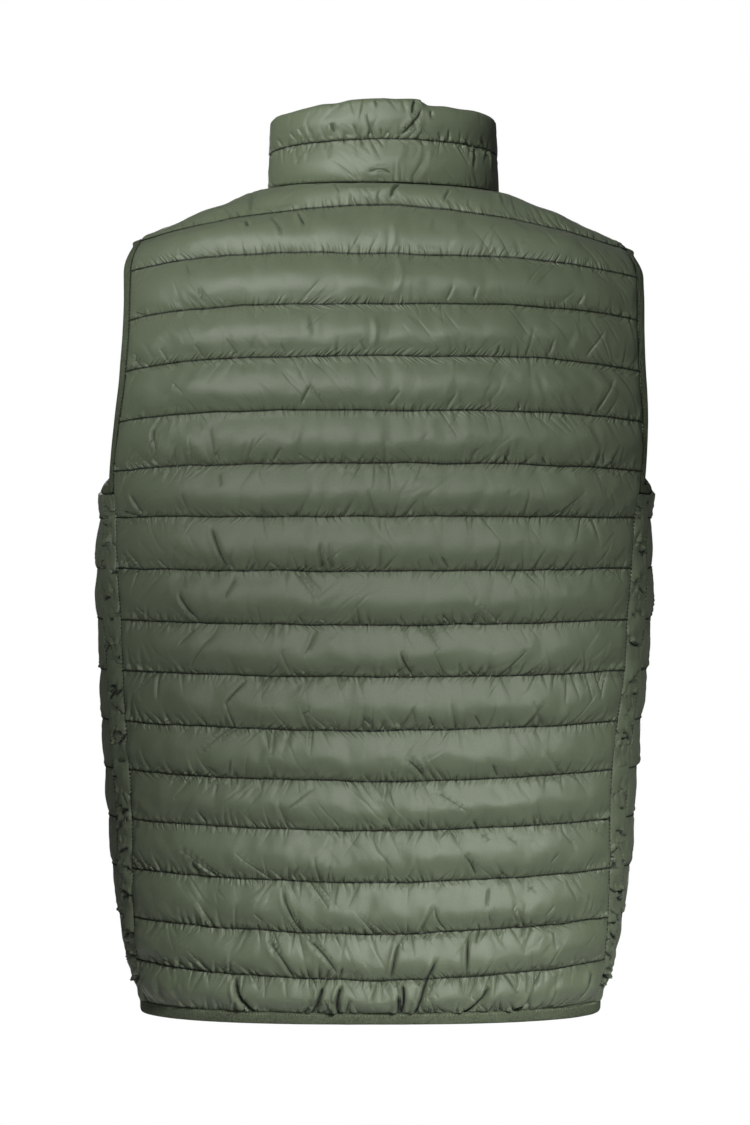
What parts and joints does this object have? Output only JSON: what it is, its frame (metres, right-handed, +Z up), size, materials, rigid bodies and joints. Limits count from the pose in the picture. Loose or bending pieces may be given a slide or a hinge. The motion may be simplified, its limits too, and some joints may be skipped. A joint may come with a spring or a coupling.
{
  "type": "quilted vest",
  "caption": "Sleeveless quilted vest with a stand collar, side gussets, elastic bindings and a centre front zip, in its worn shape with nobody in it.",
  "frame": {"origin": "between the shoulders at the base of the neck opening, level with the shoulder points, where the wearer's shoulders hold the vest", "axes": "+Z up, the front faces -Y, +X is the wearer's left"},
  "size_m": [0.4792, 0.2806, 0.7728],
  "materials": {
    "quilted_nylon": "downproof nylon with a soft sheen",
    "elastic_binding": "matt stretch binding and zip tape",
    "zip_metal": "dark painted zip, slider and pull"
  },
  "bodies": {
    "vest": {"back": "quilted_nylon", "front_left": "quilted_nylon", "front_right": "quilted_nylon", "side_left": "quilted_nylon", "side_right": "quilted_nylon", "collar": "quilted_nylon", "armhole_binding_left": "elastic_binding", "armhole_binding_right": "elastic_binding", "hem_binding": "elastic_binding", "zip_tape_left": "elastic_binding", "zip_tape_right": "elastic_binding", "zip_chain": "zip_metal", "zip_slider": "zip_metal"},
    "pull_tab": {"zip_tab": "zip_metal"}
  },
  "joints": [
    {"name": "pull_tab_hinge", "type": "hinge", "parent": "vest", "child": "pull_tab", "pos_m": [-0.007, -0.0898, -0.009], "axis": [-1, 0, 0], "range_deg": [0, 165]}
  ]
}
